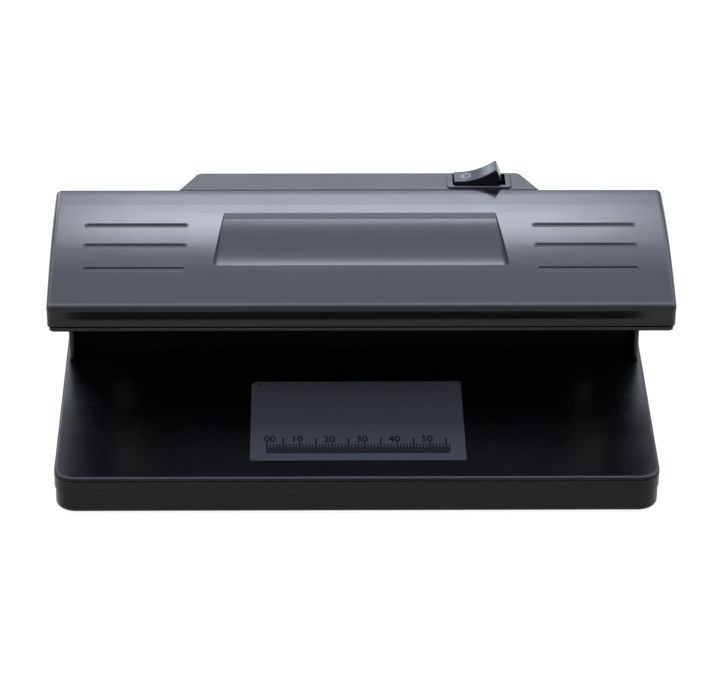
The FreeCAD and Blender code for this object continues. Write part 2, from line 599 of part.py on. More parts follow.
def cord_gland():
    """The rubber grommet that the mains lead passes through."""
    x, z = GLAND_PLACE
    inner_face = REAR_BACK - REAR_WALL - FIT
    outside = rod(6.2, at(x, REAR_BACK + 0.05, z), at(x, REAR_BACK + 1.0, z))
    outside = outside.makeFillet(0.5, edges_where(outside, lambda b: b.YMin > back(REAR_BACK) + 0.9))
    inside = rod(5.6, at(x, inner_face - 1.1, z), at(x, inner_face, z))
    neck = rod(4.5, at(x, inner_face - 0.5, z), at(x, REAR_BACK + 0.5, z))
    bore = rod(3.2, at(x, inner_face - 2, z), at(x, REAR_BACK + 2, z))
    return fused([outside, inside, neck]).cut(bore)


# ---------------------------------------------------------------- lamp
def lamp_reflector():
    """A folded aluminium sheet over the tube."""
    sheet = 0.4
    flange = COVER_Z + 0.8
    outline = [(47.5, flange, 0), (52.3, flange, 0.8), (55.2, 55.1, 2.0), (72.8, 55.1, 2.0),
               (75.7, flange, 0.8), (80.5, flange, 0), (80.5, flange + sheet, 0),
               (75.95, flange + sheet, 0.5), (73.15, 55.1 + sheet, 2.4), (54.85, 55.1 + sheet, 2.4),
               (52.05, flange + sheet, 0.5), (47.5, flange + sheet, 0)]
    return side_prism(outline, (-67.0, 67.0))


def holder_body(side):
    """One lamp holder: a block with a round seat for the rotor and a slot that the pins drop through."""
    low, high = sorted((side * 68.4, side * 78.4))
    front, rear = TUBE_BACK - HOLDER_HALF_DEPTH, TUBE_BACK + HOLDER_HALF_DEPTH
    block = side_prism([(front, 37.6, 3.5), (rear, 37.6, 3.5), (rear, 54.6, 1.2), (front, 54.6, 1.2)],
                       (low, high))
    block = block.makeFillet(0.5, edges_where(block, lambda b: b.XLength < 0.01))
    seat = rod(5.6, at(side * 68.0, TUBE_BACK, TUBE_Z), at(side * 76.8, TUBE_BACK, TUBE_Z))
    slot_x = sorted((side * 68.0, side * 76.8))
    slot = box(slot_x, (TUBE_BACK - 1.5, TUBE_BACK + 1.5), (36.0, TUBE_Z))
    return block.cut(seat).cut(slot)


def holder_rotor(side):
    """The part of a holder that turns with the tube's pins."""
    start, end = at(side * 68.5, TUBE_BACK, TUBE_Z), at(side * 73.2, TUBE_BACK, TUBE_Z)
    rotor = rod(5.3, start, end)
    rotor = rotor.makeFillet(0.4, [e for e in rotor.Edges if e.Length > 30])
    for offset in (-PIN_OFFSET, PIN_OFFSET):
        rotor = rotor.cut(rod(PIN_RADIUS + 0.05, at(side * 68, TUBE_BACK + offset, TUBE_Z),
                              at(side * 74, TUBE_BACK + offset, TUBE_Z)))
    return rotor


def holder_contacts():
    """Four bronze spring strips, two in each holder, one on each side of the pins' tips."""
    strips = []
    for side in (-1, 1):
        x_range = sorted((side * 73.5, side * 76.8))
        for way in (-1, 1):
            near, far = sorted((TUBE_BACK + way * 3.9, TUBE_BACK + way * 4.25))
            strips.append(box(x_range, (near, far), (TUBE_Z - 2.2, TUBE_Z + 2.2)))
    return bundle(strips)


def tube_glass():
    """The hollow glass of the 4 W tube."""
    end = TUBE_FACE - 1.6
    outer = rod(TUBE_RADIUS, at(-end, TUBE_BACK, TUBE_Z), at(end, TUBE_BACK, TUBE_Z))
    outer = outer.makeFillet(2.5, [e for e in outer.Edges if e.BoundBox.XLength < 0.01])
    hollow = rod(TUBE_RADIUS - 0.7, at(-end + 1, TUBE_BACK, TUBE_Z), at(end - 1, TUBE_BACK, TUBE_Z))
    return outer.cut(hollow)


def tube_cap(side):
    outer = rod(8.2, at(side * 61.5, TUBE_BACK, TUBE_Z), at(side * TUBE_FACE, TUBE_BACK, TUBE_Z))
    face_edge = edges_where(outer, lambda b: b.XLength < 0.01 and abs(b.XMin - side * TUBE_FACE) < 0.01)
    outer = outer.makeFillet(0.9, face_edge)
    inner = rod(TUBE_RADIUS + 0.05, at(side * 61.0, TUBE_BACK, TUBE_Z),
                at(side * (TUBE_FACE - 0.9), TUBE_BACK, TUBE_Z))
    cap = outer.cut(inner)
    for offset in (-PIN_OFFSET, PIN_OFFSET):
        cap = cap.cut(rod(PIN_RADIUS, at(side * 66, TUBE_BACK + offset, TUBE_Z),
                          at(side * 69, TUBE_BACK + offset, TUBE_Z)))
    return cap


def tube_pins():
    pins = []
    for side in (-1, 1):
        for offset in (-PIN_OFFSET, PIN_OFFSET):
            start = at(side * (TUBE_FACE - 0.9), TUBE_BACK + offset, TUBE_Z)
            end = at(side * 75.4, TUBE_BACK + offset, TUBE_Z)
            pin = rod(PIN_RADIUS, start, end)
            tip = edges_where(pin, lambda b: b.XLength < 0.01 and abs(b.XMin - side * 75.4) < 0.01)
            pins.append(pin.makeFillet(0.6, tip))
    return bundle(pins)


def tube_cathodes():
    """The filament at each end of the tube, on its two support wires."""
    cathodes = []
    end = TUBE_FACE - 2.6
    for side in (-1, 1):
        wires = [rod(0.35, at(side * end, TUBE_BACK + way, TUBE_Z), at(side * 57.0, TUBE_BACK + way, TUBE_Z))
                 for way in (-3.0, 3.0)]
        filament = rod(0.7, at(side * 57.0, TUBE_BACK - 4.2, TUBE_Z), at(side * 57.0, TUBE_BACK + 4.2, TUBE_Z))
        cathodes.append(fused([filament] + wires))
    return bundle(cathodes)


# ---------------------------------------------------------------- switch
def across_switch(half_x, half_back, z_range):
    """A block centred on the switch."""
    return box((SWITCH_X - half_x, SWITCH_X + half_x), (SWITCH_BACK - half_back, SWITCH_BACK + half_back), z_range)


def switch_body():
    """The rocker switch's bezel and case, with a well for the rocker and holes for its pivots."""
    bezel_top = REAR_TOP_Z + BEZEL_HEIGHT
    bezel = plan_prism(rectangle((SWITCH_X - BEZEL_HALF[0], SWITCH_X + BEZEL_HALF[0]),
                                 (SWITCH_BACK - BEZEL_HALF[1], SWITCH_BACK + BEZEL_HALF[1]), 1.3),
                       (REAR_TOP_Z, bezel_top))
    bezel = bezel.makeFillet(0.45, edges_where(bezel, lambda b: b.ZMin > bezel_top - 0.01))
    case = across_switch(9.6, 4.25, (SWITCH_FLOOR_Z - 1.4, REAR_TOP_Z))
    well = across_switch(*WELL_HALF, (SWITCH_FLOOR_Z, bezel_top + THROUGH))
    whole = fused([bezel, case]).cut(well)
    hole_reach = WELL_HALF[1] + 0.4
    whole = whole.cut(rod(PIVOT_RADIUS + 0.05, at(SWITCH_X, SWITCH_BACK - hole_reach, SWITCH_PIVOT_Z),
                          at(SWITCH_X, SWITCH_BACK + hole_reach, SWITCH_PIVOT_Z)))
    for x in TERMINAL_X:
        whole = whole.cut(box((x - 0.4, x + 0.4), (SWITCH_BACK - 2.4, SWITCH_BACK + 2.4),
                              (SWITCH_FLOOR_Z - 2, SWITCH_FLOOR_Z + 1)))
    return whole


def turned_to_rest(shape, pivot_z, degrees):
    """The shape turned about a switch pivot from its middle position to the one it rests in."""
    turned = shape.copy()
    turned.rotate(at(SWITCH_X, SWITCH_BACK, pivot_z), Y_AXIS, -degrees)
    return turned


def switch_rocker():
    """The rocker, drawn level and then turned so that its right end stands up."""
    (tip_x, tip_z), low_x = ROCKER_TIP, ROCKER_TIP[0] + 0.4
    side = [(-tip_x, tip_z, 0.5), (0, ROCKER_VALLEY, ROCKER_CURVE), (tip_x, tip_z, 0.5), (low_x, 0.2, 0.4),
            (3.2, -1.9, 1.0), (-3.2, -1.9, 1.0), (-low_x, 0.2, 0.4)]
    corners = [(SWITCH_X + a, SWITCH_PIVOT_Z + b, r) for a, b, r in side]
    body = front_prism(corners, (SWITCH_BACK - 3.45, SWITCH_BACK + 3.45))
    top_edges = [e for e in body.Edges if e.BoundBox.ZMin > SWITCH_PIVOT_Z + 1.5 and e.BoundBox.YLength < 0.01]
    body = body.makeFillet(0.35, top_edges)
    pivots = rod(PIVOT_RADIUS, at(SWITCH_X, SWITCH_BACK - 4.0, SWITCH_PIVOT_Z),
                 at(SWITCH_X, SWITCH_BACK + 4.0, SWITCH_PIVOT_Z))
    barrel = rod(1.9, at(SWITCH_X, SWITCH_BACK, SWITCH_PIVOT_Z), at(SWITCH_X, SWITCH_BACK, SWITCH_PIVOT_Z - 5.0))
    bore = rod(1.3, at(SWITCH_X, SWITCH_BACK, SWITCH_PIVOT_Z - 0.5),
               at(SWITCH_X, SWITCH_BACK, SWITCH_PIVOT_Z - 5.0))
    whole = fused([body, pivots, barrel]).cut(bore)
    return turned_to_rest(whole, SWITCH_PIVOT_Z, SWITCH_HALF_THROW)


def switch_spring():
    """The coil spring inside the rocker's barrel."""
    turns, pitch, coil_radius, wire_radius = 3, 0.9, 0.93, 0.2
    helix = Part.makeHelix(pitch, turns * pitch, coil_radius)
    circle = Part.Wire([Part.Circle(V(coil_radius, 0, 0), Y_AXIS, wire_radius).toShape()])
    spring = helix.makePipeShell([circle], True, True)
    spring.translate(at(SWITCH_X, SWITCH_BACK, SWITCH_PIVOT_Z - 3.65))
    return turned_to_rest(spring, SWITCH_PIVOT_Z, SWITCH_HALF_THROW)


def switch_plunger():
    """The brass plunger that the spring presses towards the contact lever."""
    head = rod(1.15, at(SWITCH_X, SWITCH_BACK, SWITCH_PIVOT_Z - 4.9), at(SWITCH_X, SWITCH_BACK, SWITCH_PIVOT_Z - 3.9))
    stem = rod(0.8, at(SWITCH_X, SWITCH_BACK, SWITCH_PIVOT_Z - 7.0), at(SWITCH_X, SWITCH_BACK, SWITCH_PIVOT_Z - 4.5))
    ball = Part.makeSphere(0.8, at(SWITCH_X, SWITCH_BACK, SWITCH_PIVOT_Z - 7.0))
    return turned_to_rest(fused([head, stem, ball]), SWITCH_PIVOT_Z, SWITCH_HALF_THROW)


def switch_contact_lever():
    """The see-saw contact under the plunger: a bent brass strip that rocks on the middle terminal."""
    outline = [(-6.9, 0.95, 0), (-6.6, 1.45, 0), (-3.0, 0.6, 0.5), (3.0, 0.6, 0.5), (6.6, 1.45, 0),
               (6.9, 0.95, 0), (3.1, 0.1, 0.5), (0.8, 0.1, 0), (0.0, 0.5, 0.2), (-0.8, 0.1, 0),
               (-3.1, 0.1, 0.5)]
    corners = [(SWITCH_X + a, LEVER_PIVOT_Z + b, r) for a, b, r in outline]
    strip = front_prism(corners, (SWITCH_BACK - 2.2, SWITCH_BACK + 2.2))
    return turned_to_rest(strip, LEVER_PIVOT_Z, -LEVER_HALF_THROW)


def switch_terminals():
    """Two brass tabs: the middle one ends in a knife edge for the lever, the other in a contact."""
    half, reach, hole_z = 0.4, (SWITCH_BACK - 2.4, SWITCH_BACK + 2.4), TERMINAL_BOTTOM_Z + 2.1
    middle_x, outer_x = TERMINAL_X
    middle = front_prism([(middle_x - half, TERMINAL_BOTTOM_Z, 0), (middle_x + half, TERMINAL_BOTTOM_Z, 0),
                          (middle_x + half, LEVER_PIVOT_Z - 0.5, 0), (middle_x, LEVER_PIVOT_Z + 0.1, 0),
                          (middle_x - half, LEVER_PIVOT_Z - 0.5, 0)], reach)
    outer = box((outer_x - half, outer_x + half), reach, (TERMINAL_BOTTOM_Z, LEVER_PIVOT_Z - 0.4))
    tabs = []
    for tab, x in ((middle, middle_x), (outer, outer_x)):
        tabs.append(tab.cut(rod(0.8, at(x - THROUGH, SWITCH_BACK, hole_z), at(x + THROUGH, SWITCH_BACK, hole_z))))
    return bundle(tabs)


# ---------------------------------------------------------------- electronics
def ballast_board():
    board = front_prism(rectangle(BOARD["x"], BOARD["z"], 0.8), BOARD["back"])
    for x, z in BOARD_POSTS:
        board = board.cut(rod(1.5, at(x, 99, z), at(x, 103, z)))
    return board


def board_screws():
    screws = []
    for x, z in BOARD_POSTS:
        face = BOARD["back"][0]
        head = rod(2.2, at(x, face - 1.4, z), at(x, face, z))
        head = head.makeFillet(0.5, edges_where(head, lambda b: b.YMax < back(face) - 1.3))
        shank = rod(1.05, at(x, face, z), at(x, face + 3.4, z))
        screws.append(fused([head, shank]))
    return bundle(screws)


def ballast_transformer():
    """The ferrite core of the lamp transformer: two E halves around the winding."""
    face = BOARD["back"][0]
    core = box((-1.0, 15.0), (face - 13.0, face - 1.0), (21.0, 34.0))
    for z_range in ((23.5, 26.0), (29.0, 31.5)):
        core = core.cut(box((1.0, 13.0), (face - 14.0, face), z_range))
    return core


def transformer_winding():
    face = BOARD["back"][0]
    winding = box((1.2, 12.8), (face - 12.8, face), (23.6, 31.4))
    core_leg = box((0.0, 14.0), (face - 13.1, face - 0.9), (25.9, 29.1))
    return winding.cut(core_leg)


def ballast_capacitors():
    """One reservoir capacitor and two film capacitors."""
    face = BOARD["back"][0]
    can = rod(5.0, at(-9.5, face - 17.0, 28.5), at(-9.5, face, 28.5))
    can = can.makeFillet(0.6, [e for e in can.Edges if e.BoundBox.YLength < 0.01])
    films = []
    for x, z in ((20.5, 24.0), (20.5, 32.0)):
        film = box((x - 2.6, x + 2.6), (face - 9.0, face), (z - 3.2, z + 3.2))
        films.append(film.makeFillet(0.9, [e for e in film.Edges if e.BoundBox.YLength > 5]))
    return bundle([can] + films)


def ballast_transistors():
    face = BOARD["back"][0]
    parts = []
    for z in (23.0, 32.0):
        package = box((27.0, 29.7), (face - 13.0, face - 3.5), (z - 3.9, z + 3.9))
        legs = [rod(0.4, at(28.3, face - 3.6, z + way), at(28.3, face, z + way)) for way in (-2.3, 0, 2.3)]
        parts.append(fused([package] + legs))
    return bundle(parts)


def ballast_fuse():
    """A glass fuse with metal end caps, lying along the top of the board."""
    face = BOARD["back"][0]
    x, z, axis_back = 33.4, 28.0, face - 2.6
    glass = rod(2.2, at(x, axis_back, z - 5.5), at(x, axis_back, z + 5.5))
    caps = [rod(2.6, at(x, axis_back, z + low), at(x, axis_back, z + high))
            for low, high in ((-8.0, -4.8), (4.8, 8.0))]
    return fused([glass] + caps)


def lamp_connector():
    """The four-way connector block that the lamp leads plug into."""
    face = BOARD["back"][0]
    block = box((-21.4, -15.4), (face - LAMP_CONNECTOR_DEPTH, face), (25.0, 31.0))
    return block.makeChamfer(0.5, edges_where(block, lambda b: b.YLength < 0.01 and b.YMax < back(face) - 1))


def lamp_leads():
    """Two pairs of leads, from the connector up into the hood and out to the back of the two holders."""
    leads = []
    start_back, start_z, spacing, bend = BOARD["back"][0] - LAMP_CONNECTOR_DEPTH, 28.0, 1.4, 3.0
    holder_back = TUBE_BACK + HOLDER_HALF_DEPTH
    for i, side in enumerate((-1, -1, 1, 1)):
        outer = 1 if i in (0, 3) else 0
        x = -20.5 + spacing * i
        run_back = 85.8 - 1.8 * outer
        run_z = 52.1 - 1.6 * outer
        end_x = side * (74.5 - 3.0 * outer)
        points = [at(x, start_back, start_z), at(x, run_back, start_z), at(x, run_back, run_z),
                  at(end_x, run_back, run_z), at(end_x, holder_back, run_z)]
        leads.append(tube_along(points, LEAD_RADIUS, bend))
    return bundle(leads)


def switch_lead():
    """The lead from the switch's middle terminal down to the board."""
    x, run_back = SWITCH_X - 0.4 - LEAD_RADIUS, 97.2
    points = [at(x, run_back, 44.0), at(x, run_back, 30.0), at(x, BOARD["back"][0], 30.0)]
    return tube_along(points, LEAD_RADIUS, 1.4)


# ---------------------------------------------------------------- build
def build():
    NODES["base_bottom_cover"] = on_base(base_bottom_cover())
    NODES["base_top_plate"] = on_base(base_top_plate())
    NODES["rubber_feet"] = on_base(rubber_feet())
    NODES["ruler_label"] = ruler_label()
    NODES["rating_label"] = on_base(rating_label())
    NODES["base_screws"] = on_base(base_screws())
    NODES["column_screws"] = on_base(column_screws())
    NODES["column_housing"] = on_base(column_housing())
    NODES["column_panel"] = on_base(column_panel())
    NODES["panel_screws"] = on_base(panel_screws())
    NODES["hood_cover"] = hood_cover()
    NODES["hood_tray"] = hood_tray()
    NODES["hood_screws"] = hood_screws()
    NODES["rear_cover"] = rear_cover()
    NODES["rear_screws"] = rear_screws()
    NODES["cord_gland"] = cord_gland()
    NODES["lamp_reflector"] = lamp_reflector()
    for name, side in (("left", -1), ("right", 1)):
        NODES["lamp_holder_" + name] = holder_body(side)
        NODES["holder_rotor_" + name] = holder_rotor(side)
        NODES["tube_cap_" + name] = tube_cap(side)
    NODES["holder_contacts"] = holder_contacts()
    NODES["tube_glass"] = tube_glass()
    NODES["tube_pins"] = tube_pins()
    NODES["tube_cathodes"] = tube_cathodes()
    NODES["switch_body"] = switch_body()
    NODES["switch_rocker"] = switch_rocker()
    NODES["switch_spring"] = switch_spring()
    NODES["switch_plunger"] = switch_plunger()
    NODES["switch_contact_lever"] = switch_contact_lever()
    NODES["switch_terminals"] = switch_terminals()
    NODES["ballast_board"] = ballast_board()
    NODES["board_screws"] = board_screws()
    NODES["ballast_transformer"] = ballast_transformer()
    NODES["transformer_winding"] = transformer_winding()
    NODES["ballast_capacitors"] = ballast_capacitors()
    NODES["ballast_transistors"] = ballast_transistors()
    NODES["ballast_fuse"] = ballast_fuse()
    NODES["lamp_connector"] = lamp_connector()
    NODES["lamp_leads"] = lamp_leads()
    NODES["switch_lead"] = switch_lead()


def export():
    os.makedirs("parts", exist_ok=True)
    for name, shape in NODES.items():
        solids = shape.Solids
        if not shape.isValid() or not solids or min(s.Volume for s in solids) <= 0:
            raise ValueError(name + " is not a set of valid solids")
        shape.exportStep(os.path.join("parts", name + ".step"))
        print(name, len(solids), round(shape.Volume, 1))


build()
export()
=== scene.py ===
import json
import math

import bmesh
import bpy
from mathutils import Euler, Matrix, Vector


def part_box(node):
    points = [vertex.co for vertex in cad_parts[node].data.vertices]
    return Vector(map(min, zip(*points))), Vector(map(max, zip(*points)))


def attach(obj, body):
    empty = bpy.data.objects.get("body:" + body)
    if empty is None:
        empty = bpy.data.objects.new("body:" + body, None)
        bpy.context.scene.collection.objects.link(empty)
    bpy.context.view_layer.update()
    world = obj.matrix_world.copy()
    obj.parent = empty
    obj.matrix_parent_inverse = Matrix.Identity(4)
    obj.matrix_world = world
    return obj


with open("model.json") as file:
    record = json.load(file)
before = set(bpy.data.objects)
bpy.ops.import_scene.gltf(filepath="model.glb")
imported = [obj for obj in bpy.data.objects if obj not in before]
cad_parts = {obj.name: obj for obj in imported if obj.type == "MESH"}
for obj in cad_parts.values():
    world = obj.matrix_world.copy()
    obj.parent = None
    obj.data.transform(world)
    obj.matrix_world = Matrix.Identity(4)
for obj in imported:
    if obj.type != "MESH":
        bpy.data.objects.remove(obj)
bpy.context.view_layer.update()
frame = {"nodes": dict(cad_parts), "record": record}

MM = 0.001

# ---------------------------------------------------------------- places read from the frame
LABEL_LOW, LABEL_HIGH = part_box("ruler_label")
TUBE_END_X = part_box("tube_glass")[1][0]
JOINTS = {joint["name"]: joint for joint in frame["record"]["behaviour"]["joints"]}

# ---------------------------------------------------------------- camera
IMAGE_WIDTH, SENSOR = 720, 36.0
FOCAL_PIXELS = 3509.0
ELEVATION = math.radians(30.0)
YAW = math.radians(1.1)
ROLL = math.radians(0.43)
CAMERA_DISTANCE = 1.07
AIM = Vector((-0.0006, -0.0243, 0.0422))


def make_camera():
    """A camera in front of the object and above it, turned a little to its side."""
    data = bpy.data.cameras.new("camera")
    data.sensor_width = SENSOR
    data.lens = FOCAL_PIXELS * SENSOR / IMAGE_WIDTH
    data.clip_start, data.clip_end = 0.05, 20.0
    camera = bpy.data.objects.new("camera", data)
    bpy.context.collection.objects.link(camera)
    look = Euler((math.pi / 2 - ELEVATION, 0, -YAW), "XYZ").to_matrix() @ Matrix.Rotation(ROLL, 3, "Z")
    camera.matrix_world = Matrix.Translation(AIM + look @ Vector((0, 0, CAMERA_DISTANCE))) @ look.to_4x4()
    bpy.context.scene.camera = camera


# ---------------------------------------------------------------- light and floor
def area_light(name, place, target, size, power, colour):
    data = bpy.data.lights.new(name, "AREA")
    data.shape = "RECTANGLE"
    data.size, data.size_y = size
    data.energy = power
    data.color = colour
    lamp = bpy.data.objects.new(name, data)
    bpy.context.collection.objects.link(lamp)
    lamp.location = place
    lamp.rotation_euler = (target - place).to_track_quat("-Z", "Y").to_euler()


def around(azimuth, elevation, distance):
    """A place around the object, azimuth 0 in front of it and growing to its right."""
    a, e = math.radians(azimuth), math.radians(elevation)
    return Vector((math.sin(a) * math.cos(e), -math.cos(a) * math.cos(e), math.sin(e))) * distance


COOL_WHITE = (0.86, 0.89, 1.0)
PALE_BLUE = (0.76, 0.83, 1.0)
LIGHT_DISTANCE = 1.5
OBJECT_MIDDLE = Vector((0, 0, 0.06))
SKY_STRENGTH = 10.0
HOOD_SHEEN_AZIMUTH = 179.2
# Degrees up from the horizon behind, over the top, to the horizon in front, each with its brightness.
SKY_STEPS = [
    (0, 0.8), (26, 1.3), (30, 3.9), (46, 4.6), (56, 3.6), (64, 3.7),
    (72, 5.0), (88, 9.0), (110, 6.0), (135, 2.0), (180, 1.0),
]


def make_sky():
    """The room's brightness by height, from the horizon behind over the top to the horizon in front."""
    world = bpy.data.worlds.new("studio")
    bpy.context.scene.world = world
    world.use_nodes = True
    tree = world.node_tree
    split = tree.nodes.new("ShaderNodeSeparateXYZ")
    tree.links.new(tree.nodes.new("ShaderNodeTexCoord").outputs["Generated"], split.inputs["Vector"])
    angle = tree.nodes.new("ShaderNodeMath")
    angle.operation = "ARCTAN2"
    tree.links.new(split.outputs["Z"], angle.inputs[0])
    tree.links.new(split.outputs["Y"], angle.inputs[1])
    share = tree.nodes.new("ShaderNodeMath")
    share.operation = "DIVIDE"
    share.inputs[1].default_value = math.pi
    tree.links.new(angle.outputs["Value"], share.inputs[0])
    ramp = tree.nodes.new("ShaderNodeValToRGB")
    steps = ramp.color_ramp.elements
    for degrees, _ in SKY_STEPS[1:-1]:
        steps.new(degrees / 180)
    for step, (_, level) in zip(steps, SKY_STEPS):
        grey = level / SKY_STRENGTH
        step.color = (*[grey * part for part in PALE_BLUE], 1)
    tree.links.new(share.outputs["Value"], ramp.inputs["Fac"])
    background = tree.nodes["Background"]
    tree.links.new(ramp.outputs["Color"], background.inputs["Color"])
    background.inputs["Strength"].default_value = SKY_STRENGTH


def studio_light(name, azimuth, elevation, size, power):
    """A soft box that faces the middle of the object."""
    place = OBJECT_MIDDLE + around(azimuth, elevation, LIGHT_DISTANCE)
    area_light(name, place, OBJECT_MIDDLE, size, power, COOL_WHITE)


def make_lights():
    """Two soft boxes behind the object that give the hood its sheen, and one that the switch mirrors."""
    studio_light("sheen_softbox", HOOD_SHEEN_AZIMUTH, 38.5, (0.39, 0.45), 3.75)
    studio_light("sheen_core", HOOD_SHEEN_AZIMUTH, 39.5, (0.39, 0.18), 0.55)
    studio_light("switch_sheen", 204, 19, (0.36, 0.36), 1.6)
    bpy.context.scene.view_settings.view_transform = "Standard"


FLOOR_SIZE, FLOOR_DROP = 14, 0.2 * MM


def make_floor():
    bpy.ops.mesh.primitive_plane_add(size=FLOOR_SIZE, location=(0, 0, -FLOOR_DROP))
    floor = bpy.context.object
    floor.name = "floor"
    floor.data.materials.append(floor_material())


# ---------------------------------------------------------------- material helpers
class Nodes:
    """Short calls for building one material's node tree in object space."""

    def __init__(self, name):
        self.material = bpy.data.materials.new(name)
        self.material.use_nodes = True
        self.tree = self.material.node_tree
        self.shader = self.tree.nodes["Principled BSDF"]
        self.place = self.tree.nodes.new("ShaderNodeTexCoord").outputs["Object"]

    def add(self, kind, **settings):
        node = self.tree.nodes.new(kind)
        for key, value in settings.items():
            setattr(node, key, value)
        return node

    def link(self, source, target):
        self.tree.links.new(source, target)

    def set(self, **values):
        for key, value in values.items():
            self.shader.inputs[key.replace("_", " ")].default_value = value

    def noise(self, cell, detail=2.0, rough=0.5, stretch=None):
        """Noise whose features are about one cell across, in metres."""
        node = self.add("ShaderNodeTexNoise")
        node.inputs["Scale"].default_value = 1.0 / cell
        node.inputs["Detail"].default_value = detail
        node.inputs["Roughness"].default_value = rough
        source = self.place
        if stretch:
            mapping = self.add("ShaderNodeMapping")
            mapping.inputs["Scale"].default_value = stretch
            self.link(source, mapping.inputs["Vector"])
            source = mapping.outputs["Vector"]
        self.link(source, node.inputs["Vector"])
        return node.outputs["Fac"]

    def ramp(self, source, low, high, start=0.3, end=0.7):
        node = self.add("ShaderNodeMapRange")
        node.inputs["From Min"].default_value, node.inputs["From Max"].default_value = start, end
        node.inputs["To Min"].default_value, node.inputs["To Max"].default_value = low, high
        self.link(source, node.inputs["Value"])
        return node.outputs["Result"]

    def blend(self, source, dark, light, start=0.3, end=0.7):
        node = self.add("ShaderNodeValToRGB")
        low, high = node.color_ramp.elements
        low.position, high.position = start, end
        low.color, high.color = (*dark, 1), (*light, 1)
        self.link(source, node.inputs["Fac"])
        return node.outputs["Color"]

    def colour(self, source, dark, light, start=0.3, end=0.7):
        self.link(self.blend(source, dark, light, start, end), self.shader.inputs["Base Color"])

    def roughness(self, source, low, high, start=0.3, end=0.7):
        self.link(self.ramp(source, low, high, start, end), self.shader.inputs["Roughness"])

    def bump(self, layers, edge=0.0):
        """Bump layers of (height source, depth in metres, strength), over optional softened edges."""
        normal = None
        if edge:
            bevel = self.add("ShaderNodeBevel", samples=4)
            bevel.inputs["Radius"].default_value = edge
            normal = bevel.outputs["Normal"]
        for source, depth, strength in layers:
            node = self.add("ShaderNodeBump")
            node.inputs["Distance"].default_value = depth
            node.inputs["Strength"].default_value = strength
            self.link(source, node.inputs["Height"])
            if normal:
                self.link(normal, node.inputs["Normal"])
            normal = node.outputs["Normal"]
        self.link(normal, self.shader.inputs["Normal"])


# ---------------------------------------------------------------- materials
def floor_material():
    """A pale table, lit a little from within, so that it stays white under the object's front edge."""
    m = Nodes("studio_floor")
    m.colour(m.noise(0.6), (0.060, 0.058, 0.056), (0.068, 0.066, 0.064))
    m.set(Roughness=0.9, Specular_IOR_Level=0.1, Emission_Color=(1, 1, 1, 1), Emission_Strength=0.9)
    return m.material


def moulded_plastic(name, dark, light, rough, grain, grain_depth, edge=0.25 * MM):
    """Injection-moulded plastic: fine grain, faint flow marks, and edges rubbed a little smoother."""
    m = Nodes(name)
    m.colour(m.noise(9 * MM, 3), dark, light)
    m.roughness(m.noise(14 * MM, 4, 0.6), *rough)
    m.bump([(m.noise(grain, 2, 0.6), grain_depth, 0.35), (m.noise(16 * MM, 1), 0.12 * MM, 0.10)], edge)
    return m


def black_abs():
    m = moulded_plastic("black_abs", (0.0002, 0.0002, 0.0003), (0.0004, 0.0004, 0.0005), (0.24, 0.30),
                        0.34 * MM, 0.008 * MM)
    m.set(Specular_IOR_Level=0.19)
    return m.material


def hood_abs():
    m = moulded_plastic("hood_abs", (0.0006, 0.0006, 0.0008), (0.0012, 0.0012, 0.0014), (0.17, 0.21),
                        0.26 * MM, 0.004 * MM)
    m.set(Specular_IOR_Level=0.28)
    return m.material


def switch_plastic():
    m = moulded_plastic("switch_plastic", (0.0020, 0.0020, 0.0021), (0.0030, 0.0030, 0.0031), (0.18, 0.23),
                        0.5 * MM, 0.006 * MM, 0.15 * MM)
    m.set(Specular_IOR_Level=0.28)
    return m.material


def ruler_film():
    """Matt polyester film with a stippled grey ground, paler in its rear half; that paler rear is painted
    light, offsetting the shade the hood casts on it.
    """
    m = Nodes("ruler_film")
    stipple = m.noise(0.22 * MM, 3, 0.7)
    split = m.add("ShaderNodeSeparateXYZ")
    m.link(m.place, split.inputs["Vector"])
    middle = (LABEL_LOW[1] + LABEL_HIGH[1]) / 2
    # Painted light: the ground blends to a paler colour towards the rear, making up for the hood's shade
    # there.
    mix = m.add("ShaderNodeMix", data_type="RGBA")
    m.link(m.ramp(split.outputs["Y"], 0.0, 1.0, middle, LABEL_HIGH[1]), mix.inputs["Factor"])
    m.link(m.blend(stipple, (0.0130, 0.0132, 0.0140), (0.0166, 0.0168, 0.0178)), mix.inputs["A"])
    m.link(m.blend(stipple, (0.0400, 0.0405, 0.0425), (0.0500, 0.0510, 0.0530)), mix.inputs["B"])
    m.link(mix.outputs["Result"], m.shader.inputs["Base Color"])
    m.roughness(m.noise(5 * MM, 3), 0.42, 0.52)
    m.set(Specular_IOR_Level=0.15)
    m.bump([(m.noise(0.18 * MM, 2), 0.008 * MM, 0.3)])
    return m.material


def rating_film():
    m = Nodes("rating_film")
    m.colour(m.noise(1.2 * MM, 2, 0.5, (1, 9, 1)), (0.47, 0.48, 0.50), (0.56, 0.57, 0.59))
    m.roughness(m.noise(4 * MM, 3), 0.34, 0.46)
    m.set(Metallic=0.75)
    m.bump([(m.noise(0.5 * MM, 2, 0.5, (1, 9, 1)), 0.006 * MM, 0.4)])
    return m.material


def rubber():
    m = Nodes("rubber")
    m.colour(m.noise(2 * MM, 3), (0.010, 0.010, 0.010), (0.020, 0.020, 0.019))
    m.roughness(m.noise(1.5 * MM, 3), 0.72, 0.9)
    m.bump([(m.noise(0.3 * MM, 3), 0.03 * MM, 0.5)], 0.2 * MM)
    return m.material


def metal(name, dark, light, rough, stretch=(1, 1, 1), cell=0.4 * MM, edge=0.1 * MM):
    m = Nodes(name)
    m.colour(m.noise(3 * MM, 3), dark, light)
    m.roughness(m.noise(cell, 3, 0.6, stretch), *rough)
    m.set(Metallic=1.0)
    m.bump([(m.noise(cell, 2, 0.5, stretch), 0.01 * MM, 0.3)], edge)
    return m


def steel():
    return metal("zinc_steel", (0.50, 0.51, 0.52), (0.64, 0.64, 0.63), (0.26, 0.42)).material


